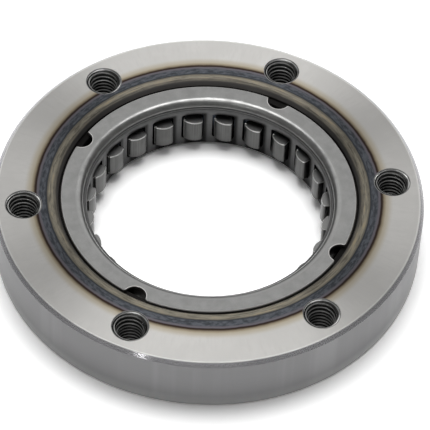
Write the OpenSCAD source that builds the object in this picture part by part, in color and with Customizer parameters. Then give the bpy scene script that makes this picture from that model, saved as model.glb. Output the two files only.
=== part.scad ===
// Starter clutch of a motorcycle engine: a threaded outer race with a double
// cage sprag unit dropped into it. The ring lies on z = 0, the sprag unit's
// flange shows at the top, and everything turns about Z. Millimetres.

/* [Main sizes] */
// Diameter of the gear hub that the sprags grip
hub_d = 61; // [54:0.5:68]
// Radial space between the hub and the track, which the sprags bridge
sprag_space = 7.7; // [7:0.1:8.5]
// Distance from the track to the circle of the bolt holes
bolt_wall = 10.8; // [10:0.1:14]
// Distance from the circle of the bolt holes to the outside of the race
rim_w = 8; // [7:0.1:12]
// Thickness of the race
race_h = 17; // [15.25:0.25:20]

/* [Outer race] */
// Width of the turned chamfer on the outer top edge
rim_chamfer_w = 1.15; // [0.5:0.05:1.6]
// Height of the turned chamfer on the outer top edge
rim_chamfer_h = 1; // [0.4:0.05:1.6]
// Chamfer on the outer bottom edge
foot_chamfer = 0.5; // [0.2:0.05:1]
// Chamfer where the track runs out of the bottom face
track_chamfer = 0.8; // [0.2:0.05:1.2]
// Width of the shallow lead-in round the counterbore
lead_w = 2.2; // [1:0.1:2.6]
// Fall of the shallow lead-in
lead_h = 0.4; // [0.1:0.05:0.6]
// Width of the steep brow between the lead-in and the counterbore wall
brow_w = 0.8; // [0.3:0.05:1]
// Fall of the steep brow
brow_h = 0.7; // [0.2:0.05:0.9]

/* [Bolt holes] */
// Number of threaded holes
bolt_count = 6; // [3:1:12]
// Nominal thread diameter
thread_d = 8; // [6:0.5:9]
// How far the countersink stands out round the thread
csk_out = 0.75; // [0.3:0.05:0.9]

/* [Outer cage] */
// Thickness of the flange
flange_t = 1; // [0.7:0.05:1.3]
// How far the flange lies below the face of the race
flange_drop = 0.75; // [0.3:0.05:1.2]
// How far the flange reaches over its seat past the track
flange_reach = 1; // [0.6:0.05:1.4]
// Edge break on the flange's rim and notches
flange_edge = 0.2; // [0.05:0.05:0.3]
// Radius of the rolled lip at the flange's inner edge
lip_r = 2.2; // [1.6:0.05:2.4]
// Wall of the neck below the rolled lip
neck_t = 0.9; // [0.6:0.05:1.1]
// How far the neck reaches down past the top rim of the inner cage
neck_lap = 0.6; // [0.2:0.05:0.8]
// Wall of the windowed outer cage
cage_t = 1; // [0.7:0.05:1.2]
// How far both cages stop short of the bottom face
cage_foot_gap = 1.1; // [0.8:0.05:1.5]
// Corner radius of the windows of the outer cage
cage_corner_r = 0.5; // [0.2:0.05:0.6]

/* [Flange notches] */
// Number of half-round notches in the flange
notch_count = 4; // [2:1:8]
// Radius of a notch
notch_r = 3; // [1.5:0.1:3.3]
// Radius of the rounded corners where a notch meets the rim
notch_corner_r = 0.6; // [0.2:0.05:0.9]
// How deep the relief below a notch goes into the outer cage
notch_relief = 2.5; // [0.5:0.1:2.8]
// Turn of the notches from the first bolt hole
notch_phase = 55; // [0:1:89]

/* [Inner cage] */
// Wall of the inner cage
inner_t = 0.45; // [0.3:0.05:0.6]
// How far the top rim of the inner cage lies below the face of the race
inner_drop = 3.4; // [3:0.05:3.8]
// How much wider the windows of the inner cage are than a sprag's nose
inner_window_gap = 1; // [0.85:0.05:1.15]
// How far the windows of the inner cage sit off the noses, counter-clockwise
inner_window_bias = 0.1; // [0:0.02:0.15]
// Height of the rim above the windows of the inner cage
inner_rim_h = 1.15; // [0.8:0.05:1.3]
// Height of the rim below the windows of the inner cage
inner_sill_h = 2.35; // [1.8:0.05:2.4]
// Corner radius of the windows of the inner cage
inner_corner_r = 0.8; // [0.3:0.05:1.2]

/* [Sprags] */
// How far the noses stand inside the hub's surface before it is fitted
nose_preload = 0.08; // [0:0.02:0.2]
// How far the sprags lie below the face of the race
sprag_drop = 6.15; // [5.9:0.05:6.5]
// How far the sprags stand above the bottom face of the race
sprag_lift = 3.75; // [3.7:0.05:4.4]
// Radius of both cams
cam_r = 4.3; // [3.8:0.05:5]
// Sideways offset of the nose cam, which makes the sprag wedge
cam_offset = 0.6; // [0.3:0.05:0.8]
// Width of the head that bears on the track
head_w = 5.3; // [5:0.05:5.6]
// Width of the nose that grips the hub
nose_w = 5.15; // [4.5:0.05:5.2]
// Width of the waist between head and nose
waist_w = 3.5; // [3:0.05:3.9]
// Radius of the hollow at the waist
hollow_r = 2.1; // [2:0.05:2.5]
// Corner radius beside the cams
sprag_corner_r = 0.6; // [0.3:0.05:0.9]
// Edge break round a sprag's ends
sprag_edge = 0.2; // [0.1:0.05:0.25]
// Lean of the sprags at rest, with no hub fitted
sprag_lean = 2; // [0:0.5:4]
// Turn of the first sprag from the first bolt hole
sprag_phase = 1.2; // [0:0.1:14]

/* [Ribbon spring] */
// Thickness of the ribbon
ribbon_t = 0.3; // [0.2:0.05:0.4]
// How far the ribbon's windows stand past the sprags' ends
ribbon_end_gap = 0.4; // [0.2:0.05:0.6]
// How far the ribbon's windows stand off the sprags' waists
ribbon_side_gap = 0.8; // [0.75:0.05:1]
// Height of the ribbon above and below its windows
ribbon_rim_h = 1.1; // [0.6:0.05:1.3]
// Height of the tongue that pushes on a sprag
tongue_h = 3.2; // [2:0.1:4]
// How far a tongue reaches in from the ribbon
tongue_reach = 1; // [0.6:0.05:1.1]

/* [Clearances] */
// Radial gap between the sprags' heads and the track
track_gap = 0.3; // [0.2:0.02:0.4]
// Radial gap between the outer cage and the track
cage_gap = 1; // [0.8:0.05:1.2]
// Radial gap between the flange and its counterbore
seat_gap = 0.6; // [0.4:0.05:0.8]
// Gap under the flange, where it rides on its seat
ride_gap = 0.1; // [0.05:0.01:0.2]
// Radial gap between the inner cage and the gear hub
hub_gap = 1.85; // [1.6:0.05:2]
// Radial gap between the inner cage and the neck round it
neck_gap = 0.3; // [0.25:0.01:0.4]
// Gap between a sprag's head and the sides of its window
side_gap = 0.4; // [0.35:0.01:0.5]
// Gap between a sprag's ends and its window in the outer cage
end_gap = 0.25; // [0.2:0.01:0.35]
// Radial gap between the inner cage's foot and the outer cage
foot_gap = 0.4; // [0.3:0.02:0.5]

/* [Hidden] */
$fn = 96;
overcut = 1;
sprag_count = 24;
sprag_pitch = 360 / sprag_count;

track_r = hub_d / 2 + sprag_space;
bolt_r = track_r + bolt_wall;
race_r = bolt_r + rim_w;
flange_r = track_r + flange_reach;
flange_top = race_h - flange_drop;
flange_z = flange_top - flange_t;
seat_r = flange_r + seat_gap;
seat_z = flange_z - ride_gap;

cage_r = track_r - cage_gap;
cage_bore_r = cage_r - cage_t;
pivot_r = cage_r - cage_t / 2;

inner_r = hub_d / 2 + hub_gap;
inner_out_r = inner_r + inner_t;
inner_mid_r = inner_r + inner_t / 2;
inner_top = race_h - inner_drop;
inner_foot_r = cage_bore_r - foot_gap;
inner_window_z = cage_foot_gap + inner_sill_h;
inner_window_h = inner_top - inner_rim_h - inner_window_z;

neck_r = inner_out_r + neck_gap;
neck_z = inner_top - neck_lap;
ribbon_r = (neck_r + neck_t + cage_bore_r) / 2;

// A sprag's own frame has its pivot at the origin, y outward and z along the sprag
nose_r = hub_d / 2 - nose_preload;
sprag_len = race_h - sprag_drop - sprag_lift;
head_cam = [0, track_r - track_gap - cam_r - pivot_r];
nose_cam = [cam_offset,
            (nose_r + cam_r - pivot_r + cam_offset * sin(sprag_lean)) / cos(sprag_lean)];
waist_y = (cage_bore_r + inner_out_r) / 2 - pivot_r;
// Sideways place of the inner cage's windows, where the leaning sprags pass it
inner_shift = (pivot_r - inner_mid_r) * sin(sprag_lean) + inner_window_bias;

function two_digits(i) = str(i < 10 ? "0" : "", i);
function sprag_name(i) = str("sprag_", two_digits(i));
function sprag_angle(i) = sprag_phase + sprag_pitch * (i - 1);

// Places its children round the axis, the first one at the given turn
module ring_of(count, first = 0) {
    for (i = [0 : count - 1])
        rotate([0, 0, first + 360 * i / count]) children();
}

// Upright rectangle with round corners, standing on y = 0 and centred on x = 0
module round_window(w, h, r) {
    translate([-w / 2 + r, 0]) square([w - 2 * r, h]);
    translate([-w / 2, r]) square([w, h - 2 * r]);
    for (x = [-w / 2 + r, w / 2 - r], y = [r, h - r])
        translate([x, y]) circle(r);
}

// Cutter for one window through a wall between two radii
module window_cut(w, z, h, r, from_r, to_r) {
    translate([from_r, 0, z])
        rotate([90, 0, 90])
            linear_extrude(to_r - from_r) round_window(w, h, r);
}

// Half section of the race: rim chamfers, lead-in, counterbore and track
module race_section() {
    polygon([
        [track_r + track_chamfer, 0],
        [race_r - foot_chamfer, 0],
        [race_r, foot_chamfer],
        [race_r, race_h - rim_chamfer_h],
        [race_r - rim_chamfer_w, race_h],
        [seat_r + brow_w + lead_w, race_h],
        [seat_r + brow_w, race_h - lead_h],
        [seat_r, race_h - lead_h - brow_h],
        [seat_r, seat_z],
        [track_r, seat_z],
        [track_r, track_chamfer]
    ]);
}

// Threaded hole at its major diameter, countersunk from both faces
module bolt_hole() {
    thread_r = thread_d / 2;
    translate([0, 0, -overcut]) cylinder(r = thread_r, h = race_h + 2 * overcut);
    translate([0, 0, race_h - csk_out])
        cylinder(r1 = thread_r, r2 = thread_r + csk_out + overcut, h = csk_out + overcut);
    translate([0, 0, -overcut])
        cylinder(r1 = thread_r + csk_out + overcut, r2 = thread_r, h = csk_out + overcut);
}

module outer_race() {
    color("#b9b9b6")
        difference() {
            rotate_extrude() race_section();
            ring_of(bolt_count) translate([bolt_r, 0]) bolt_hole();
        }
}

// Half section of the outer cage: flange, rolled lip with its neck, and wall
module outer_cage_section() {
    difference() {
        union() {
            translate([neck_r, flange_z]) square([flange_r - neck_r, flange_t]);
            translate([neck_r, neck_z]) square([neck_t, flange_top - neck_z]);
            translate([cage_bore_r, cage_foot_gap])
                square([cage_t, flange_z - cage_foot_gap]);
        }
        difference() {
            translate([neck_r, flange_top - lip_r]) square(lip_r);
            translate([neck_r + lip_r, flange_top - lip_r]) circle(lip_r);
        }
        polygon([
            [flange_r - flange_edge, flange_top],
            [flange_r, flange_top],
            [flange_r, flange_top - flange_edge]
        ]);
    }
}

// Outline of a half-round notch centred on the rim, with round corners beside it
module notch_outline() {
    corner_at = flange_r - notch_corner_r;
    corner_turn = acos((pow(corner_at, 2) + pow(flange_r, 2)
                        - pow(notch_r + notch_corner_r, 2)) / (2 * corner_at * flange_r));
    translate([flange_r, 0]) circle(notch_r);
    for (side = [-1, 1]) {
        corner = corner_at * [cos(corner_turn), side * sin(corner_turn)];
        difference() {
            polygon([
                [flange_r, 0],
                corner,
                corner * (flange_r + overcut) / corner_at,
                [flange_r + overcut, 0]
            ]);
            translate(corner) circle(notch_corner_r);
        }
    }
}

module notch_cut() {
    translate([0, 0, flange_z - notch_relief])
        linear_extrude(flange_t + notch_relief + overcut) notch_outline();
    translate([flange_r, 0, flange_top - flange_edge])
        cylinder(r1 = notch_r, r2 = notch_r + flange_edge, h = flange_edge);
}

module outer_cage() {
    color("#8f8f8c")
        difference() {
            rotate_extrude() outer_cage_section();
            ring_of(notch_count, notch_phase) notch_cut();
            ring_of(sprag_count, sprag_phase)
                window_cut(head_w + 2 * side_gap, sprag_lift - end_gap,
                           sprag_len + 2 * end_gap, cage_corner_r,
                           cage_bore_r - overcut, cage_r + overcut);
        }
}

// Thin sleeve round the hub, with a foot that closes the unit from below
module inner_cage() {
    color("#6f6f6c")
        difference() {
            rotate_extrude() {
                translate([inner_r, cage_foot_gap])
                    square([inner_t, inner_top - cage_foot_gap]);
                translate([inner_r, cage_foot_gap])
                    square([inner_foot_r - inner_r, inner_t]);
            }
            ring_of(sprag_count, sprag_phase + asin(inner_shift / inner_mid_r))
                window_cut(nose_w + inner_window_gap, inner_window_z, inner_window_h,
                           inner_corner_r, inner_r - overcut, inner_out_r + overcut);
        }
}

// Windowed strip between the cages, with a tongue bent in beside each sprag
module ribbon_spring() {
    window_w = waist_w + 2 * ribbon_side_gap;
    window_z = sprag_lift - ribbon_end_gap;
    window_h = sprag_len + 2 * ribbon_end_gap;
    color("#5a5f68") {
        difference() {
            translate([0, 0, window_z - ribbon_rim_h])
                rotate_extrude()
                    translate([ribbon_r - ribbon_t / 2, 0])
                        square([ribbon_t, window_h + 2 * ribbon_rim_h]);
            ring_of(sprag_count, sprag_phase)
                window_cut(window_w, window_z, window_h, ribbon_t,
                           ribbon_r - ribbon_t / 2 - overcut,
                           ribbon_r + ribbon_t / 2 + overcut);
        }
        ring_of(sprag_count, sprag_phase)
            translate([ribbon_r - tongue_reach, -window_w / 2 - ribbon_t,
                       sprag_lift + (sprag_len - tongue_h) / 2])
                cube([tongue_reach, ribbon_t, tongue_h]);
    }
}

// Round piece as long as a sprag, with both end edges broken
module broken_disc(r) {
    rotate_extrude()
        polygon([
            [0, 0],
            [r - sprag_edge, 0],
            [r, sprag_edge],
            [r, sprag_len - sprag_edge],
            [r - sprag_edge, sprag_len],
            [0, sprag_len]
        ]);
}

// Straight piece between two heights of the outline, its long edges broken
module broken_bar(w, from_y, to_y) {
    half = w / 2;
    inset = half - sprag_edge;
    top_edge = sprag_len - sprag_edge;
    translate([0, to_y, 0])
        rotate([90, 0, 0])
            linear_extrude(to_y - from_y)
                polygon([
                    [-inset, 0], [inset, 0], [half, sprag_edge], [half, top_edge],
                    [inset, sprag_len], [-inset, sprag_len], [-half, top_edge],
                    [-half, sprag_edge]
                ]);
}

// One end of a sprag: a cam arc with a round corner each side. The cam bulges
// outward for side = 1 and inward for side = -1.
module cam_end(cam, w, side) {
    corner_x = w / 2 - sprag_corner_r;
    corners = [for (x = [-corner_x, corner_x])
        [x, cam[1] + side * sqrt(pow(cam_r - sprag_corner_r, 2) - pow(x - cam[0], 2))]];
    intersection() {
        translate(cam) broken_disc(cam_r);
        linear_extrude(sprag_len)
            polygon([cam, cam + 2 * (corners[0] - cam), cam + 2 * (corners[1] - cam)]);
    }
    for (corner = corners)
        translate(corner) broken_disc(sprag_corner_r);
    intersection() {
        broken_bar(w, min(waist_y, side * cam_r * 2), max(waist_y, side * cam_r * 2));
        linear_extrude(sprag_len)
            polygon([
                [-w, corners[0][1]], corners[0], corners[1], [w, corners[1][1]],
                [w, waist_y], [-w, waist_y]
            ]);
    }
}

// Sprag in its own frame: head cam, nose cam and the waist between them
module sprag_body() {
    difference() {
        union() {
            cam_end(head_cam, head_w, 1);
            cam_end(nose_cam, nose_w, -1);
        }
        for (side = [-1, 1])
            translate([side * (waist_w / 2 + hollow_r), waist_y, -overcut])
                cylinder(r = hollow_r, h = sprag_len + 2 * overcut);
    }
}

module sprag(i) {
    color("#a3a3a1")
        rotate([0, 0, sprag_angle(i) - 90])
            translate([0, pivot_r, sprag_lift])
                rotate([0, 0, -sprag_lean]) sprag_body();
}

outer_race();
outer_cage();
inner_cage();
ribbon_spring();
for (i = [1 : sprag_count])
    sprag(i);
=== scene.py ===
"""Looks of a motorcycle starter clutch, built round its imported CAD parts."""

import math

import bmesh
import bpy
from mathutils import Matrix, Vector


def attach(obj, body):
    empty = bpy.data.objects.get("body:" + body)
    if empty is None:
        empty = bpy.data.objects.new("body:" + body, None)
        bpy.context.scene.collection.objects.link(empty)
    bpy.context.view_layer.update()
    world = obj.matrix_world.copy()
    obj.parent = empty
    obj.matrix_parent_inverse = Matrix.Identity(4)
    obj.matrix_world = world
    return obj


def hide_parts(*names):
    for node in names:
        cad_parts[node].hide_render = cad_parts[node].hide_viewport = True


bl_info = {
    "name": "Starter clutch looks",
    "version": (1, 0, 0),
    "blender": (4, 5, 0),
    "location": "3D View > Sidebar > Clutch",
    "description": "Ground race, threads, cages, sprags and studio for a starter clutch",
    "category": "Object",
}

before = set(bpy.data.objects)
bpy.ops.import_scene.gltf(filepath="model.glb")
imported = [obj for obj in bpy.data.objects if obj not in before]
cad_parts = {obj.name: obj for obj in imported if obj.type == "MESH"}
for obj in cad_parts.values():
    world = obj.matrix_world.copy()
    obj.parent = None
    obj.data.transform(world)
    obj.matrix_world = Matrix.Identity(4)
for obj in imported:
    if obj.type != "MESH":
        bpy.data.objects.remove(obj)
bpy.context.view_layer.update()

MM = 0.001
SPRAGS = sorted(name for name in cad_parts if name.startswith("sprag_"))

# Steps of one full turn
RACE_STEPS = 288
HOLE_STEPS = 64
THREAD_STEPS = 36
COLLAR_STEPS = 360

# Distances at which points of a mesh count as one, in metres
MERGE = 0.002 * MM
NODE_MERGE = 0.001 * MM
SLIVER = 0.0026 * MM

# Widths of the flat kept beside a turned edge, on the race and round a hole
RACE_FLAT = 0.4 * MM
HOLE_FLAT = 0.15 * MM

# Gap between the collar and the cages' solids
COLLAR_UNDER = 0.005 * MM
COLLAR_BESIDE = 0.05 * MM

# Watts per square metre that give an area lamp a brightness of one
LAMP_POWER = 4.0


# Property helpers

def length(name, description, millimetres):
    """A length property. Its default is given in millimetres."""
    return bpy.props.FloatProperty(
        name=name, description=description, default=millimetres * MM,
        min=0.0, unit="LENGTH", subtype="DISTANCE", precision=5,
    )


def direction(name, description, degrees):
    """An angle property. Its default is given in degrees."""
    return bpy.props.FloatProperty(
        name=name, description=description, default=math.radians(degrees), subtype="ANGLE",
    )


def count(name, description, number):
    """A whole number of at least one."""
    return bpy.props.IntProperty(name=name, description=description, default=number, min=1)


def colour(name, description, rgb):
    """A colour property, as linear red, green and blue."""
    return bpy.props.FloatVectorProperty(
        name=name, description=description, default=rgb, size=3,
        min=0.0, max=1.0, subtype="COLOR",
    )


def share(name, description, default, high=1.0):
    """A plain number from 0 to its upper limit."""
    return bpy.props.FloatProperty(
        name=name, description=description, default=default, min=0.0, max=high,
    )


class ClutchRaceSizes(bpy.types.PropertyGroup):
    """Sizes of the outer race as in the CAD source, and of its threads."""

    outer_r: length("Outer radius", "Radius of the race's outside", 57.0)
    height: length("Height", "Thickness of the race", 17.0)
    chamfer_w: length("Rim chamfer width", "Width of the top chamfer", 1.15)
    chamfer_h: length("Rim chamfer height", "Height of the top chamfer", 1.0)
    foot_chamfer: length("Foot chamfer", "Chamfer on the bottom edge", 0.5)
    lead_r: length("Lead-in radius", "Outer radius of the shallow lead-in", 42.8)
    brow_r: length("Brow radius", "Radius where the lead-in turns steep", 40.6)
    lead_h: length("Lead-in fall", "Fall of the shallow lead-in", 0.4)
    brow_h: length("Brow fall", "Fall of the steep brow", 0.7)
    seat_r: length("Counterbore radius", "Radius of the counterbore's wall", 39.8)
    seat_z: length("Seat height", "Height of the counterbore's floor", 15.15)
    track_r: length("Track radius", "Radius of the ground track", 38.2)
    track_chamfer: length("Track chamfer", "Chamfer at the track's foot", 0.8)
    edge_r: length("Edge round", "Rounding of the turned edges", 0.12)
    hole_edge_r: length("Hole edge round", "Rounding of the holes' turned edges", 0.05)
    bolt_r: length("Bolt circle radius", "Radius of the circle of holes", 49.0)
    bolt_count: count("Bolt holes", "Number of threaded holes", 6)
    thread_r: length("Thread radius", "Major radius of the thread", 4.0)
    crest_r: length("Crest radius", "Minor radius of the thread", 3.32)
    thread_pitch: length("Thread pitch", "Rise of one turn of the thread", 1.25)
    foot_half: share("Ridge foot", "Half the width of the ridge's foot, of a pitch", 0.44)
    crest_half: share("Ridge crest", "Half the width of the ridge's crest, of a pitch", 0.11)
    foot_sunk: length("Ridge in the wall", "How far the ridge's foot is sunk in the wall", 0.03)
    thread_gap: length("Thread gap", "How far the ridge's ends stay off the faces", 0.06)
    sink_out: length("Countersink", "How far the countersink stands out", 0.75)
    crest_proud: length("Cut crests", "How far cut crests stand out of the countersink", 0.28)
    foot_clear: length("Cut feet", "How far cut feet are sunk behind the countersink", 0.02)
    thread_start: direction("Thread start", "Direction in which each thread runs out", 262.0)
    mouth_r: length("Mouth radius", "Radius of the worn crests, carried on to the face", 4.16)
    mouth_taper: share("Mouth taper", "How fast the worn crests narrow with depth", 0.26)


class ClutchCageSizes(bpy.types.PropertyGroup):
    """Sizes of the cages and sprags as in the CAD source, and of the collar."""

    flange_r: length("Flange radius", "Radius of the flange", 39.2)
    flange_top: length("Flange height", "Height of the flange's top", 16.25)
    notch_r: length("Notch radius", "Radius of a half-round notch", 3.0)
    notch_count: count("Notches", "Number of notches in the flange", 4)
    notch_phase: direction("Notch turn", "Turn of the notches from the first bolt hole", 55.0)
    neck_r: length("Neck radius", "Inner radius of the neck", 33.1)
    lip_r: length("Lip round", "Rounding of the lip", 2.2)
    sleeve_top: length("Sleeve height", "Height of the inner cage's top rim", 13.6)
    sleeve_r: length("Sleeve radius", "Inner radius of the inner cage", 32.35)
    collar_top: length("Collar height", "Height of the inner cage's flared rim", 14.35)
    collar_r: length("Collar radius", "Inner radius at the top of the flared rim", 32.5)
    collar_round: length("Collar round", "Rounding of the flared rim's inner edge", 0.2)
    window_top: length("Window height", "Upper edge of the inner cage's windows", 12.25)
    sprag_top: length("Sprag height", "Height of the sprags' upper ends", 10.85)
    sprag_count: count("Sprags", "Number of sprags and windows", 24)
    cage_edge: length("Outer cage edges", "Rounding of the outer cage's edges", 0.18)
    sleeve_edge: length("Inner cage edges", "Rounding of the inner cage's edges", 0.06)
    sprag_edge: length("Sprag edges", "Rounding of the sprags' edges", 0.13)


class ClutchFinish(bpy.types.PropertyGroup):
    """Colours of the steels and of the temper bands, and of painted highlights, sheen and shade."""

    ground: colour("Ground steel", "Bare ground face", (0.62, 0.61, 0.59))
    wall: colour("Turned steel", "Outside wall of the race", (0.238, 0.237, 0.240))
    # Painted reflection of the floor on the wall near its foot
    edge: colour("Wall foot", "Outside wall near its foot", (0.39, 0.39, 0.39))
    # Turned steel painted paler than the wall, as a painted sheen
    chamfer: colour("Rim chamfer", "Turned chamfer of the race's rim", (0.50, 0.495, 0.51))
    straw: colour("Straw temper", "Outermost temper tint", (0.48, 0.435, 0.35))
    tan: colour("Tan temper", "Tint between the straw and the line", (0.30, 0.25, 0.175))
    line: colour("Purple line", "Dark line where the tint is strongest", (0.040, 0.027, 0.022))
    lilac: colour("Lilac temper", "Thin pale line inside the dark one", (0.150, 0.138, 0.155))
    blue: colour("Blue temper", "Blue-grey band", (0.090, 0.097, 0.110))
    olive: colour("Olive scale", "Band on the lead-in", (0.272, 0.250, 0.202))
    gold: colour("Gold streaks", "Streaks in the olive band", (0.36, 0.305, 0.21))
    # Partly real scale and partly painted shade: on the race's brow, counterbore and track, and under
    # the cage's flange
    scale: colour("Dark scale", "Counterbore and track", (0.060, 0.057, 0.055))
    # Tapped steel; darkened copies of it paint shade in the holes and in the threads' grooves
    bore: colour("Tapped steel", "Flanks and walls of the holes", (0.20, 0.20, 0.195))
    # Painted highlight on the flange's rim and on the notches' rims
    crest: colour("Cut rims", "Bright rims of the flange and its notches", (0.62, 0.61, 0.59))
    # Painted highlights: the hole mouths, the face's rim, the thread crests and the sprags' upper ends
    cut: colour("Cut edges", "Bright edges of the holes, threads and sprags", (0.95, 0.95, 0.93))
    cage: colour("Cage steel", "Flange and lip of the outer cage", (0.275, 0.275, 0.27))
    sleeve: colour("Sleeve steel", "Inner cage", (0.09, 0.09, 0.09))
    ribbon: colour("Ribbon steel", "Blued spring strip", (0.07, 0.08, 0.10))
    sprag_end: colour("Sprag ends", "End faces of the sprags", (0.20, 0.20, 0.197))
    sprag: colour("Sprag steel", "Noses and flanks of the sprags", (0.092, 0.092, 0.090))


class ClutchStudio(bpy.types.PropertyGroup):
    """Floor, light and camera."""

    floor: colour("Floor", "Colour of the floor", (0.90, 0.90, 0.90))
    floor_seen: bpy.props.FloatVectorProperty(
        name="Floor as seen", description="Colour of the floor to the camera and in the metal",
        default=(1.35, 1.35, 1.35), size=3, min=0.0, soft_max=2.0, subtype="COLOR",
    )
    overhead: share("Overhead light", "Brightness of the overhead softbox", 2.85, 50.0)
    spot: share("Small lamp", "Brightness of the small lamp on the left", 32.0, 200.0)
    far: share("Far panel", "Brightness of the wide panel behind the part", 0.66, 50.0)
    near: share("Near panel", "Brightness of the panel over the camera", 1.0, 50.0)
    fill: share("Fill light", "Brightness of the wide light on the floor", 3.0, 50.0)
    world: share("World", "Brightness of the room", 0.20, 5.0)
    azimuth: direction("Camera azimuth", "Direction of the camera from the axis", 262.131)
    elevation: direction("Camera elevation", "Height of the camera over the face", 49.395)
    roll: direction("Camera roll", "Turn of the camera about its view", 2.7)
    distance: length("Camera distance", "Camera to the middle of the face", 700.98)
    aim: bpy.props.FloatVectorProperty(
        name="Camera aim", description="Where the camera looks, from the middle of the face",
        default=(0.7865 * MM, -7.6316 * MM, 0.0), size=3, unit="LENGTH", subtype="TRANSLATION",
        precision=5,
    )
    lens: bpy.props.FloatProperty(
        name="Lens", description="Focal length on the sensor, in millimetres",
        default=222.04, min=1.0,
    )
    sensor: bpy.props.FloatProperty(
        name="Sensor", description="Width of the sensor, in millimetres", default=36.0, min=1.0,
    )


def active(kind):
    """One of the scene's property groups."""
    return getattr(bpy.context.scene, kind)


# Node tree helpers

class Tree:
    """Adds nodes to a material's tree and links values or sockets to them."""

    def __init__(self, material):
        material.use_nodes = True
        self.nodes = material.node_tree.nodes
        self.links = material.node_tree.links
        self.nodes.clear()

    def put(self, socket, value):
        """Links a socket to another, or sets a constant on the socket itself."""
        if isinstance(value, bpy.types.NodeSocket):
            self.links.new(value, socket)
        elif value is not None:
            if socket.type == "RGBA" and len(value) == 3:
                value = (*value, 1.0)
            socket.default_value = value

    def add(self, kind, **settings):
        """A new node with its settings."""
        node = self.nodes.new(kind)
        for key, value in settings.items():
            setattr(node, key, value)
        return node

    def math(self, operation, a, b=None, clamp=False):
        node = self.add("ShaderNodeMath", operation=operation, use_clamp=clamp)
        self.put(node.inputs[0], a)
        self.put(node.inputs[1], b)
        return node.outputs[0]

    def step(self, value, low, high):
        """0 at low and 1 at high, with a smooth rise between them."""
        node = self.add("ShaderNodeMapRange", interpolation_type="SMOOTHSTEP")
        self.put(node.inputs["Value"], value)
        self.put(node.inputs["From Min"], low)
        self.put(node.inputs["From Max"], high)
        return node.outputs["Result"]

    def between(self, kind, factor, a, b):
        node = self.add("ShaderNodeMix", data_type=kind)
        self.put(node.inputs["Factor"], factor)
        self.put(node.inputs["A"], a)
        self.put(node.inputs["B"], b)
        return node.outputs["Result"]

    def mix(self, factor, a, b):
        """Colour between a and b."""
        return self.between("RGBA", factor, a, b)

    def blend(self, factor, a, b):
        """Number between a and b."""
        return self.between("FLOAT", factor, a, b)

    def layers(self, value, base, rows):
        """Lays colours over a base, each from where it starts to where it is full."""
        for start, full, rgb in rows:
            base = self.mix(self.step(value, start, full), base, rgb)
        return base

    def noise(self, vector, scale, detail=2.0, roughness=0.5):
        node = self.add("ShaderNodeTexNoise", noise_dimensions="3D")
        self.put(node.inputs["Vector"], vector)
        self.put(node.inputs["Scale"], scale)
        self.put(node.inputs["Detail"], detail)
        self.put(node.inputs["Roughness"], roughness)
        return node.outputs[0]

    def xyz(self, x, y, z):
        node = self.add("ShaderNodeCombineXYZ")
        for socket, value in zip(node.inputs, (x, y, z)):
            self.put(socket, value)
        return node.outputs[0]

    def split(self, vector):
        node = self.add("ShaderNodeSeparateXYZ")
        self.put(node.inputs[0], vector)
        return node.outputs

    def scaled(self, vector, factor):
        node = self.add("ShaderNodeVectorMath", operation="SCALE")
        self.put(node.inputs[0], vector)
        self.put(node.inputs["Scale"], factor)
        return node.outputs[0]

    def reach(self, x, y):
        """Length of a level vector."""
        node = self.add("ShaderNodeVectorMath", operation="LENGTH")
        self.put(node.inputs[0], self.xyz(x, y, 0.0))
        return node.outputs["Value"]

    def place(self):
        """Object place in millimetres."""
        return self.scaled(self.add("ShaderNodeTexCoord").outputs["Object"], 1.0 / MM)

    def polar(self):
        """Object place in millimetres, and its radius, height and angle."""
        place = self.place()
        x, y, z = self.split(place)
        return place, self.reach(x, y), z, self.math("ARCTAN2", y, x)

    def off_centre(self, value, angle, shift):
        """A radius shifted along Y, in millimetres."""
        return self.math("ADD", value, self.math("MULTIPLY", self.math("SINE", angle), shift))

    def ring_distance(self, radius, angle, number, ring_r, first=0.0):
        """Distance in millimetres from the nearest of a ring of upright axes."""
        part = math.tau / number
        wrapped = self.add("ShaderNodeMath", operation="WRAP")
        self.put(wrapped.inputs[0], self.math("SUBTRACT", angle, first) if first else angle)
        self.put(wrapped.inputs[1], part / 2.0)
        self.put(wrapped.inputs[2], -part / 2.0)
        folded = wrapped.outputs[0]
        along = self.math("MULTIPLY", radius, self.math("COSINE", folded))
        along = self.math("SUBTRACT", along, ring_r / MM)
        across = self.math("MULTIPLY", radius, self.math("SINE", folded))
        return self.reach(along, across)

    def around(self, place, radius, fine, coarse):
        """A place that changes by fine round the axis and by coarse outwards."""
        x, y, _ = self.split(self.scaled(place, self.math("DIVIDE", fine, radius)))
        return self.xyz(x, y, self.math("MULTIPLY", radius, coarse))

    def steel(self, base, roughness, anisotropic=0.0, turn=0.0):
        """Metal shader. A number for a constant goes straight on its socket."""
        shader = self.add("ShaderNodeBsdfPrincipled")
        self.put(shader.inputs["Base Color"], base)
        self.put(shader.inputs["Metallic"], 1.0)
        self.put(shader.inputs["Roughness"], roughness)
        if anisotropic:
            self.put(shader.inputs["Anisotropic"], anisotropic)
            self.put(shader.inputs["Anisotropic Rotation"], turn)
            tangent = self.add("ShaderNodeTangent", direction_type="RADIAL", axis="Z")
            self.put(shader.inputs["Tangent"], tangent.outputs[0])
        out = self.add("ShaderNodeOutputMaterial")
        self.put(out.inputs["Surface"], shader.outputs[0])


def new_material(name):
    """A new material and its tree."""
    material = bpy.data.materials.new(name)
    return material, Tree(material)


def times(rgb, factor):
    """A colour made brighter or darker."""
    return [c * factor for c in rgb]


# Materials: all radii, heights and distances in them are in millimetres

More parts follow.
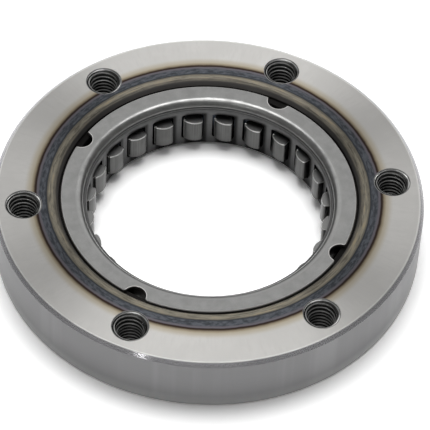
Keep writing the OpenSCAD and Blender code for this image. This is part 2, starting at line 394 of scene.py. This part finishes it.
def temper_tint(tree, look, place, radius, angle):
    """Ground steel with temper bands by radius, from the outside inwards."""
    mottle = tree.noise(place, 0.12, 3.0)
    grind = tree.noise(tree.around(place, radius, 60.0, 0.25), 1.0, 3.0, 0.6)
    ground = tree.mix(tree.step(mottle, 0.3, 0.7), look.ground, times(look.ground, 0.95))
    ground = tree.mix(tree.step(grind, 0.42, 0.68), ground, times(look.ground, 0.95))

    patches = tree.noise(tree.around(place, radius, 22.0, 1.6), 1.0, 4.0, 0.65)
    specks = tree.noise(place, 6.0, 4.0, 0.7)
    blue = tree.mix(tree.step(patches, 0.38, 0.62), times(look.blue, 1.25), times(look.blue, 0.62))
    blue = tree.mix(tree.step(specks, 0.70, 0.78), blue, look.lilac)

    swirl = tree.noise(tree.around(place, radius, 7.0, 1.7), 1.0, 5.0, 0.7)
    olive = tree.mix(tree.step(swirl, 0.36, 0.55), times(look.olive, 0.5), look.olive)
    olive = tree.mix(tree.step(swirl, 0.54, 0.66), olive, look.gold)

    # The bands wander a little and lie off centre; the dark ones lie twice as far off, as painted shade
    # that is wider on the far side
    wander = tree.blend(tree.noise(place, 0.45, 3.0), -0.14, 0.14)
    band = tree.off_centre(tree.math("ADD", radius, wander), angle, -0.32)
    tint = tree.layers(band, ground, (
        (49.0, 47.0, look.straw),
        (47.2, 46.3, look.tan),
        (46.5, 45.85, look.line),
        (45.65, 45.25, look.lilac),
        (45.1, 44.6, blue),
        (43.3, 42.95, times(look.blue, 0.55)),
        (42.85, 42.55, times(look.olive, 0.62)),
        (42.55, 42.2, olive),
    ))
    # Dark scale on the brow: partly real scale, partly painted shade, wider on the far side
    return tree.layers(tree.off_centre(band, angle, -0.35), tint, (
        (41.3, 40.8, tree.mix(0.5, olive, look.scale)),
        (40.6, 40.1, look.scale),
    ))


def race_steel(look, size):
    """Tempered ground steel with cut hole mouths, a counterbore in painted shade and a turned wall;
    highlights, sheen and a floor reflection are painted on too.
    """
    material, tree = new_material("race_ground_steel")
    place, radius, height, angle = tree.polar()
    hole = tree.ring_distance(radius, angle, size.bolt_count, size.bolt_r)
    sink_r = (size.thread_r + size.sink_out) / MM
    # Round each hole mouth: a grey ring on the face, painted shade at the countersink's edge, a painted
    # highlight line on the cone and painted shade below it
    tint = tree.layers(hole, temper_tint(tree, look, place, radius, angle), (
        (sink_r + 0.23, sink_r + 0.11, look.cage),
        (sink_r + 0.01, sink_r - 0.03, times(look.bore, 0.2)),
        (sink_r - 0.09, sink_r - 0.15, look.cut),
        (sink_r - 0.31, sink_r - 0.39, times(look.bore, 0.6)),
    ))

    brow_r, brow_z = size.brow_r / MM, (size.height - size.lead_h - size.brow_h) / MM
    # Painted shade: the counterbore below the brow is darkened to 0.3 of the dark scale colour
    counterbore_shade = tree.math(
        "MULTIPLY",
        tree.step(height, brow_z, brow_z - 0.2), tree.step(radius, brow_r + 0.4, brow_r + 0.2),
    )
    tint = tree.mix(counterbore_shade, tint, times(look.scale, 0.3))
    # Below 12 mm, away from the holes, the race takes the dark scale colour: partly real scale, partly
    # painted shade
    unshaded = tree.math("MAXIMUM", tree.step(height, 12.0, 13.0), tree.step(hole, 5.3, 5.2))
    tint = tree.mix(unshaded, look.scale, tint)

    rim_r, rim_z = (size.outer_r - size.chamfer_w) / MM, (size.height - size.chamfer_h) / MM
    outside = tree.step(radius, rim_r + 0.05, rim_r + 0.25)
    chamfer = tree.math("MULTIPLY", outside, tree.step(height, rim_z - 0.05, rim_z + 0.05))
    lines = tree.noise(tree.xyz(0.0, 0.0, tree.math("MULTIPLY", height, 4.0)), 1.0, 4.0, 0.7)
    # Random paler vertical bands on the wall: painted reflection streaks
    reflection_streaks = tree.noise(tree.around(place, radius, 7.0, 0.0), 1.0, 3.0, 0.6)
    wall = tree.mix(tree.step(lines, 0.35, 0.65), look.wall, times(look.wall, 0.93))
    wall = tree.mix(tree.step(reflection_streaks, 0.5, 0.7), wall, times(look.wall, 1.12))
    # Painted highlight: the face is lightened towards the cut colour just inside the rim chamfer
    rim_highlight = tree.step(radius, rim_r - 0.35, rim_r - 0.15)
    tint = tree.mix(rim_highlight, tint, tree.mix(0.5, tint, look.cut))
    tint = tree.mix(outside, tint, wall)
    # Painted reflection of the floor: the wall turns paler towards its foot
    foot = tree.math("MULTIPLY", outside, tree.step(height, 4.5, 0.3))
    tint = tree.mix(foot, tint, look.edge)
    # The turned chamfer is painted paler than the wall: turned steel with a painted sheen
    tint = tree.mix(chamfer, tint, look.chamfer)

    foot_r = (size.track_r + size.track_chamfer) / MM
    under = tree.math(
        "MULTIPLY", tree.step(height, 0.6, 0.1), tree.step(radius, foot_r + 0.1, foot_r + 0.6),
    )
    tint = tree.mix(under, tint, look.ground)

    streak = tree.noise(tree.xyz(radius, height, 0.0), 2.2, 4.0, 0.7)
    face_rough = tree.blend(streak, 0.40, 0.50)
    wall_rough = tree.blend(streak, 0.27, 0.36)
    rough = tree.blend(outside, face_rough, wall_rough)
    rough = tree.blend(chamfer, rough, 0.24)
    tree.steel(tint, rough, anisotropic=1.0, turn=0.25)
    return material


def thread_steel(look, size):
    """Cut steel of the screw threads, with painted highlights on the crests and painted shade in the
    grooves.
    """
    material, tree = new_material("cut_thread_steel")
    place = tree.place()
    height = tree.split(place)[2]
    depth = tree.math("MINIMUM", height, tree.math("SUBTRACT", size.height / MM, height))
    cloud = tree.noise(place, 1.6, 3.0, 0.6)
    crest = tree.step(tree.add("ShaderNodeAttribute", attribute_name="crest").outputs["Fac"], 0.6, 0.95)
    # Painted highlight on the crests, fading deeper into the hole as painted shade; the grooves are
    # painted shade
    bright = tree.mix(tree.step(depth, 0.8, 4.2), look.cut, times(look.cut, 0.22))
    base = tree.mix(crest, times(look.bore, 0.08), bright)
    base = tree.mix(tree.step(cloud, 0.6, 0.9), base, times(look.bore, 0.6))
    tree.steel(base, tree.blend(cloud, 0.34, 0.44))
    return material


def cage_steel(look, size):
    """Satin pressed steel, with painted highlights on its cut rims and lip and painted shade below the
    flange.
    """
    material, tree = new_material("cage_satin_steel")
    place, radius, height, angle = tree.polar()
    cloud = tree.noise(place, 0.35, 4.0, 0.6)
    grain = tree.noise(place, 5.0, 3.0, 0.7)
    worn = tree.step(cloud, 0.3, 0.75)
    base = tree.mix(worn, look.cage, times(look.cage, 0.82))
    base = tree.mix(tree.step(grain, 0.5, 0.7), base, times(look.cage, 0.84))

    rim_r, notch_r, top = size.flange_r / MM, size.notch_r / MM, size.flange_top / MM
    notch = tree.ring_distance(radius, angle, size.notch_count, size.flange_r, size.notch_phase)
    # Painted highlight: the flange's rim and the notches' rims take the bright crest colour
    rim = tree.math(
        "MAXIMUM",
        tree.step(radius, rim_r - 0.28, rim_r - 0.2),
        tree.step(notch, notch_r + 0.2, notch_r + 0.1),
    )
    base = tree.mix(rim, base, look.crest)

    # Painted highlight on the rolled lip, brightest on the far side, from its top down to the neck
    roll_r = (size.neck_r + size.lip_r) / MM
    far_side_sheen = tree.step(tree.math("SINE", angle), -0.9, 0.5)
    lip_with_sheen = tree.mix(far_side_sheen, look.cage, times(look.cage, 1.42))
    lip_with_sheen = tree.mix(tree.step(height, top - 0.01, top - 0.06), look.cage, lip_with_sheen)
    lip_with_sheen = tree.mix(worn, lip_with_sheen, look.cage)
    lip_with_sheen = tree.mix(tree.step(height, top - 0.95, top - 1.95), lip_with_sheen, look.cage)
    lip = tree.step(radius, roll_r + 1.7, roll_r + 1.2)
    neck = tree.math(
        "MULTIPLY",
        tree.step(radius, roll_r + 0.1, roll_r - 0.1), tree.step(height, 10.0, 10.5),
    )
    # Painted shade: below the flange and outside the lip, the cage takes the dark scale colour
    low = tree.math("MAXIMUM", tree.step(height, top - 0.9, top - 1.2), neck)
    base = tree.mix(low, base, tree.mix(lip, look.scale, lip_with_sheen))

    smooth = tree.step(radius, roll_r + 0.2, roll_r - 0.2)
    satin = tree.blend(rim, tree.blend(grain, 0.28, 0.38), 0.3)
    tree.steel(base, tree.blend(smooth, satin, tree.blend(cloud, 0.27, 0.32)))
    return material


def sprag_finish(look, size):
    """Tumbled steel with drawn flanks, pale ends and a painted highlight round their upper ends."""
    material, tree = new_material("sprag_steel")
    place, radius, height, _ = tree.polar()
    top = size.sprag_top / MM
    cloud = tree.noise(place, 0.25, 3.0, 0.5)
    drawn = tree.noise(tree.around(place, radius, 90.0, 0.3), 1.0, 2.0, 0.5)
    base = tree.mix(tree.step(cloud, 0.35, 0.7), look.sprag, times(look.sprag, 0.85))
    base = tree.mix(tree.step(drawn, 0.45, 0.7), base, times(look.sprag, 1.18))
    # Painted highlight: a band round each sprag just below its upper end takes the bright cut colour
    edge = tree.step(height, top - 0.28, top - 0.2)
    base = tree.mix(edge, base, look.cut)
    base = tree.mix(tree.step(height, top - 0.03, top - 0.015), base, look.sprag_end)
    tree.steel(base, tree.blend(edge, tree.blend(cloud, 0.26, 0.36), 0.40))
    return material


def sleeve_steel(look, size):
    """Thin steel in painted shade, darker downwards and darkest over the windows."""
    material, tree = new_material("sleeve_steel")
    place, radius, height, angle = tree.polar()
    window_top, top = size.window_top / MM, size.collar_top / MM
    cloud = tree.noise(place, 0.8, 4.0, 0.6)
    base = tree.mix(tree.step(cloud, 0.3, 0.75), look.sleeve, times(look.sleeve, 0.85))
    # Painted shade: darker downwards into the ring
    base = tree.mix(tree.step(height, 12.5, 2.5), base, times(look.sleeve, 0.75))
    beside = tree.ring_distance(radius, angle, size.sprag_count, size.sleeve_r)
    shade = tree.math(
        "MULTIPLY",
        tree.step(height, window_top + 1.2, window_top + 0.1), tree.step(beside, 3.5, 2.5),
    )
    base = tree.mix(shade, base, times(look.sleeve, 0.12))
    base = tree.mix(tree.step(height, top - 0.2, top - 0.1), base, times(look.sleeve, 0.9))
    tree.steel(base, tree.blend(cloud, 0.3, 0.45))
    return material


def ribbon_steel(look):
    """Blued spring steel with faint clouds."""
    material, tree = new_material("ribbon_steel")
    cloud = tree.noise(tree.place(), 0.8, 4.0, 0.6)
    base = tree.mix(tree.step(cloud, 0.3, 0.75), look.ribbon, times(look.ribbon, 0.8))
    tree.steel(base, tree.blend(cloud, 0.3, 0.45))
    return material


# Mesh helpers

def add_object(name, data):
    """A new object in the scene."""
    thing = bpy.data.objects.new(name, data)
    bpy.context.scene.collection.objects.link(thing)
    return thing


def as_mesh(bm, name):
    """A new mesh from a bmesh, which is freed."""
    mesh = bpy.data.meshes.new(name)
    bm.to_mesh(mesh)
    bm.free()
    return mesh


def add_copy(bm, mesh, matrix):
    """Adds a mesh to a bmesh, moved by a matrix."""
    first = len(bm.verts)
    bm.from_mesh(mesh)
    bm.verts.ensure_lookup_table()
    bmesh.ops.transform(bm, verts=bm.verts[first:], matrix=matrix)


def is_level(face):
    return abs(face.normal.z) > 0.99999


def finish_mesh(bm, name, material, body, angle=30.0):
    """Turns a bmesh into a piece that rides on a body, with its edges kept sharp
    round level faces and where they turn by more than an angle in degrees."""
    bmesh.ops.remove_doubles(bm, verts=bm.verts, dist=MERGE)
    bmesh.ops.recalc_face_normals(bm, faces=bm.faces)
    for face in bm.faces:
        face.smooth = True
    for edge in bm.edges:
        if len(edge.link_faces) == 2:
            level = [is_level(face) for face in edge.link_faces]
            steep = edge.calc_face_angle(0.0) > math.radians(angle)
            edge.smooth = not steep and any(level) == all(level)
    piece = add_object(name, as_mesh(bm, name))
    piece.data.materials.append(material)
    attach(piece, body)
    return piece


def polyline(bm, points, closed=False):
    """A line of vertices joined by edges, from (radius, height) pairs in the XZ plane."""
    verts = [bm.verts.new((x, 0.0, z)) for x, z in points]
    pairs = list(zip(verts, verts[1:]))
    if closed:
        pairs.append((verts[-1], verts[0]))
    for pair in pairs:
        bm.edges.new(pair)
    return verts


def turned(bm, verts, reach, segments, steps):
    """Rounds corners of the loose line in a bmesh, then turns it once about Z."""
    bmesh.ops.bevel(
        bm, geom=verts, offset=reach, offset_type="OFFSET", segments=segments,
        profile=0.5, affect="VERTICES", material=-1,
    )
    line = [v for v in bm.verts if v.is_wire] + [e for e in bm.edges if e.is_wire]
    bmesh.ops.spin(
        bm, geom=line, cent=(0.0, 0.0, 0.0), axis=(0.0, 0.0, 1.0),
        angle=math.tau, steps=steps, use_merge=True,
    )


def softened(name, node, material, body, width, segments=2, angle=35.0):
    """A copy of a CAD node with its sharp edges rounded, which replaces it."""
    bm = bmesh.new()
    bm.from_mesh(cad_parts[node].data)
    bmesh.ops.remove_doubles(bm, verts=bm.verts, dist=NODE_MERGE)
    bmesh.ops.dissolve_limit(
        bm, angle_limit=math.radians(0.3), verts=bm.verts, edges=bm.edges,
        delimit={"NORMAL"},
    )
    sharp = [e for e in bm.edges if len(e.link_faces) == 2
             and e.calc_face_angle(0.0) > math.radians(angle)]
    bmesh.ops.bevel(
        bm, geom=sharp, offset=width, offset_type="OFFSET", segments=segments, profile=0.5,
        affect="EDGES", clamp_overlap=True, material=-1, miter_outer="ARC",
    )
    bmesh.ops.dissolve_degenerate(bm, dist=SLIVER, edges=bm.edges)
    piece = finish_mesh(bm, name, material, body, angle=20.0)
    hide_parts(node)
    return piece


# The race and its threads

def race_lines(size):
    """The race's outside and inside, as (radius, height) pairs."""
    top, low = size.height, 0.0
    outside = [
        (size.outer_r - size.chamfer_w - RACE_FLAT, top),
        (size.outer_r - size.chamfer_w, top),
        (size.outer_r, top - size.chamfer_h),
        (size.outer_r, low + size.foot_chamfer),
        (size.outer_r - size.foot_chamfer, low),
        (size.outer_r - size.foot_chamfer - RACE_FLAT, low),
    ]
    inside = [
        (size.track_r + size.track_chamfer + RACE_FLAT, low),
        (size.track_r + size.track_chamfer, low),
        (size.track_r, low + size.track_chamfer),
        (size.track_r, size.seat_z),
        (size.seat_r, size.seat_z),
        (size.seat_r, top - size.lead_h - size.brow_h),
        (size.brow_r, top - size.lead_h),
        (size.lead_r, top),
        (size.lead_r + RACE_FLAT, top),
    ]
    return outside, inside


def hole_mesh(size):
    """The wall of one hole, countersunk at both ends."""
    top, low = size.height, 0.0
    sink = size.thread_r + size.sink_out
    bm = bmesh.new()
    verts = polyline(bm, [
        (sink + HOLE_FLAT, top), (sink, top), (size.thread_r, top - size.sink_out),
        (size.thread_r, size.sink_out), (sink, low), (sink + HOLE_FLAT, low),
    ])
    turned(bm, verts[1:-1], size.hole_edge_r, 3, HOLE_STEPS)
    return as_mesh(bm, "hole")


def thread_mesh(size):
    """The ridge of one hole's thread, cut back by the countersinks and worn at the
    mouths. The attribute crest is 1 on its crests and 0 at its foot."""
    pitch = size.thread_pitch
    turns = int((size.height - 0.2 * MM) / pitch)
    start = (size.height - turns * pitch) / 2.0
    foot = size.thread_r + size.foot_sunk
    bm = bmesh.new()
    bm.faces.new(polyline(bm, [
        (foot, start - size.foot_half * pitch), (size.crest_r, start - size.crest_half * pitch),
        (size.crest_r, start + size.crest_half * pitch), (foot, start + size.foot_half * pitch),
    ], closed=True))
    bmesh.ops.spin(
        bm, geom=bm.faces[:], cent=(0.0, 0.0, 0.0), axis=(0.0, 0.0, 1.0),
        dvec=(0.0, 0.0, pitch / THREAD_STEPS), angle=math.tau * turns,
        steps=THREAD_STEPS * turns,
    )
    marks = bm.verts.layers.float.new("crest")
    for vert in bm.verts:
        reach = math.hypot(vert.co.x, vert.co.y)
        vert.co.z = min(max(vert.co.z, size.thread_gap), size.height - size.thread_gap)
        depth = min(vert.co.z, size.height - vert.co.z)
        cone = size.thread_r + size.sink_out - depth
        mouth = size.mouth_r - size.mouth_taper * depth
        if reach < size.thread_r:
            vert[marks] = 1.0
            wanted = max(reach, mouth, cone - size.crest_proud)
        else:
            wanted = max(reach, cone + size.foot_clear)
        vert.co.x *= wanted / reach
        vert.co.y *= wanted / reach
    return as_mesh(bm, "thread")


def hole_places(size):
    """The direction of each hole and a matrix that moves a mesh there."""
    for number in range(size.bolt_count):
        way = math.tau * number / size.bolt_count
        yield way, Matrix.Rotation(way, 4, "Z") @ Matrix.Translation((size.bolt_r, 0.0, 0.0))


class CLUTCH_OT_race(bpy.types.Operator):
    """Build the outer race with rounded edges and countersunk holes"""

    bl_idname = "clutch.race"
    bl_label = "Outer race"

    def execute(self, context):
        size, look = active("clutch_race"), active("clutch_finish")
        bm = bmesh.new()
        for points in race_lines(size):
            turned(bm, polyline(bm, points)[1:-1], size.edge_r, 3, RACE_STEPS)
        wall = hole_mesh(size)
        for _, place in hole_places(size):
            add_copy(bm, wall, place)
        bpy.data.meshes.remove(wall)
        bmesh.ops.remove_doubles(bm, verts=bm.verts, dist=MERGE)
        for level, up in ((size.height, 1.0), (0.0, -1.0)):
            rims = [e for e in bm.edges if e.is_boundary
                    and all(abs(v.co.z - level) < NODE_MERGE for v in e.verts)]
            bmesh.ops.triangle_fill(bm, edges=rims, use_beauty=True, normal=(0.0, 0.0, up))
        piece = finish_mesh(bm, "race_ground", race_steel(look, size), "race")
        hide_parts("outer_race")
        return {"FINISHED"}


class CLUTCH_OT_threads(bpy.types.Operator):
    """Cut the screw threads of the six holes"""

    bl_idname = "clutch.threads"
    bl_label = "Threads"

    def execute(self, context):
        size, look = active("clutch_race"), active("clutch_finish")
        ridge = thread_mesh(size)
        bm = bmesh.new()
        for way, place in hole_places(size):
            add_copy(bm, ridge, place @ Matrix.Rotation(size.thread_start - way, 4, "Z"))
        bpy.data.meshes.remove(ridge)
        piece = finish_mesh(bm, "race_threads", thread_steel(look, size), "race", angle=25.0)
        return {"FINISHED"}


class CLUTCH_OT_collar(bpy.types.Operator):
    """Turn the flared rim of the inner cage"""

    bl_idname = "clutch.collar"
    bl_label = "Inner cage rim"

    def execute(self, context):
        size, look = active("clutch_cage"), active("clutch_finish")
        low, high = size.sleeve_top + COLLAR_UNDER, size.collar_top
        outer = size.neck_r - COLLAR_BESIDE
        bm = bmesh.new()
        verts = polyline(bm, [
            (size.sleeve_r, low), (outer, low), (outer, high), (size.collar_r, high),
        ], closed=True)
        turned(bm, verts[3:], size.collar_round, 5, COLLAR_STEPS)
        piece = finish_mesh(bm, "sleeve_collar", sleeve_steel(look, size), "sleeve")
        return {"FINISHED"}


class CLUTCH_OT_nodes(bpy.types.Operator):
    """Soften the cages and sprags, and give the ribbon its finish"""

    bl_idname = "clutch.nodes"
    bl_label = "Cages and sprags"

    def execute(self, context):
        size, look = active("clutch_cage"), active("clutch_finish")
        cage, sleeve = cage_steel(look, size), sleeve_steel(look, size)
        sprag = sprag_finish(look, size)
        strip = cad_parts["ribbon_spring"]
        strip.data.materials.clear()
        strip.data.materials.append(ribbon_steel(look))
        piece = softened("cage_flanged", "outer_cage", cage, "cage", size.cage_edge, 3)
        piece = softened("sleeve_windowed", "inner_cage", sleeve, "sleeve", size.sleeve_edge)
        for name in SPRAGS:
            piece = softened(name + "_ground", name, sprag, name, size.sprag_edge, 3)
        return {"FINISHED"}


# The stage

def add_floor(studio):
    """A wide floor, paler to the camera and in the metal than it lights the part."""
    bm = bmesh.new()
    bmesh.ops.create_grid(bm, x_segments=1, y_segments=1, size=3.0)
    floor = add_object("floor", as_mesh(bm, "floor"))
    material, tree = new_material("floor_white")
    ray = tree.add("ShaderNodeLightPath")
    seen = tree.math("ADD", ray.outputs["Is Camera Ray"], ray.outputs["Is Glossy Ray"], clamp=True)
    paper = tree.add("ShaderNodeBsdfDiffuse")
    tree.put(paper.inputs["Color"], tree.mix(seen, studio.floor, studio.floor_seen))
    out = tree.add("ShaderNodeOutputMaterial")
    tree.put(out.inputs["Surface"], paper.outputs[0])
    floor.data.materials.append(material)


def add_world(scene, studio):
    """A dim room that is white to the camera."""
    world = bpy.data.worlds.new("studio")
    scene.world = world
    world.use_nodes = True
    nodes, links = world.node_tree.nodes, world.node_tree.links
    backdrop = nodes["Background"]
    backdrop.inputs["Color"].default_value = (1.0, 1.0, 1.0, 1.0)
    room = nodes.new("ShaderNodeLightPath")
    pale = nodes.new("ShaderNodeMix")
    pale.inputs["A"].default_value = studio.world
    pale.inputs["B"].default_value = 1.0
    links.new(room.outputs["Is Camera Ray"], pale.inputs["Factor"])
    links.new(pale.outputs["Result"], backdrop.inputs["Strength"])


def add_lamp(name, shape, width, height, brightness):
    """An area lamp, a rectangle or a round disk, with sides in metres."""
    lamp = bpy.data.lights.new(name, "AREA")
    lamp.shape = shape
    lamp.size, lamp.size_y = width, height
    area = width * height * (math.pi / 4.0 if shape == "DISK" else 1.0)
    lamp.energy = LAMP_POWER * area * brightness
    return add_object(name, lamp)


def aim_from(holder, middle, azimuth, elevation, away):
    """Places an object in a direction from the middle, in degrees, its local Z
    pointing away from the middle and its local Y upwards."""
    turn = Matrix.Rotation(math.radians(azimuth + 90.0), 4, "Z")
    tilt = Matrix.Rotation(math.radians(90.0 - elevation), 4, "X")
    holder.matrix_world = (
        Matrix.Translation(middle) @ turn @ tilt @ Matrix.Translation((0.0, 0.0, away))
    )


def add_camera(scene, studio, middle):
    """The camera of the photograph."""
    camera = bpy.data.cameras.new("camera")
    camera.lens = studio.lens
    camera.sensor_width = studio.sensor
    camera.clip_start, camera.clip_end = 0.01, 20.0
    holder = add_object("camera", camera)
    level = math.cos(studio.elevation)
    back = Vector((
        math.cos(studio.azimuth) * level, math.sin(studio.azimuth) * level,
        math.sin(studio.elevation),
    ))
    holder.location = middle + back * studio.distance
    sight = holder.location - middle - Vector(studio.aim)
    view = sight.to_track_quat("Z", "Y").to_matrix().to_4x4()
    holder.matrix_world = (
        Matrix.Translation(holder.location) @ view @ Matrix.Rotation(studio.roll, 4, "Z")
    )
    scene.camera = holder


class CLUTCH_OT_stage(bpy.types.Operator):
    """Set the floor, the lights, the world and the camera"""

    bl_idname = "clutch.stage"
    bl_label = "Stage"

    def execute(self, context):
        scene, studio = context.scene, active("clutch_studio")
        middle = Vector((0.0, 0.0, active("clutch_race").height))
        add_floor(studio)
        add_world(scene, studio)
        # Azimuth and elevation in degrees, then the distance and the sides in metres
        for name, azimuth, elevation, away, width, height, brightness in (
            ("overhead", 82.0, 80.0, 1.1, 0.95, 0.45, studio.overhead),
            ("far_panel", 82.0, 38.0, 1.6, 3.2, 1.3, studio.far),
            ("near_high", 262.0, 74.0, 1.2, 0.45, 0.30, studio.near),
            ("small_lamp", 231.0, 47.4, 1.2, 0.05, 0.05, studio.spot),
        ):
            lamp = add_lamp(name, "RECTANGLE", width, height, brightness)
            aim_from(lamp, middle, azimuth, elevation, away)
        fill = add_lamp("fill", "DISK", 1.0, 1.0, studio.fill)
        fill.visible_glossy = False
        aim_from(fill, middle, 82.0, 78.0, 1.6)
        add_camera(scene, studio, middle)
        scene.view_settings.view_transform = "Standard"
        return {"FINISHED"}


class CLUTCH_PT_panel(bpy.types.Panel):
    """Lists the pieces of the clutch and its stage"""

    bl_idname = "CLUTCH_PT_panel"
    bl_label = "Starter clutch"
    bl_space_type = "VIEW_3D"
    bl_region_type = "UI"
    bl_category = "Clutch"

    def draw(self, context):
        for operator in OPERATORS:
            self.layout.operator(operator.bl_idname)


OPERATORS = (
    CLUTCH_OT_race, CLUTCH_OT_threads, CLUTCH_OT_collar, CLUTCH_OT_nodes, CLUTCH_OT_stage,
)
GROUPS = {
    "clutch_race": ClutchRaceSizes,
    "clutch_cage": ClutchCageSizes,
    "clutch_finish": ClutchFinish,
    "clutch_studio": ClutchStudio,
}
CLASSES = (*GROUPS.values(), *OPERATORS, CLUTCH_PT_panel)


def register():
    for cls in CLASSES:
        bpy.utils.register_class(cls)
    for name, group in GROUPS.items():
        setattr(bpy.types.Scene, name, bpy.props.PointerProperty(type=group))


def unregister():
    for name in GROUPS:
        delattr(bpy.types.Scene, name)
    for cls in reversed(CLASSES):
        bpy.utils.unregister_class(cls)


def main():
    register()
    bpy.ops.clutch.race()
    bpy.ops.clutch.threads()
    bpy.ops.clutch.collar()
    bpy.ops.clutch.nodes()
    bpy.ops.clutch.stage()


if __name__ == "__main__":
    main()
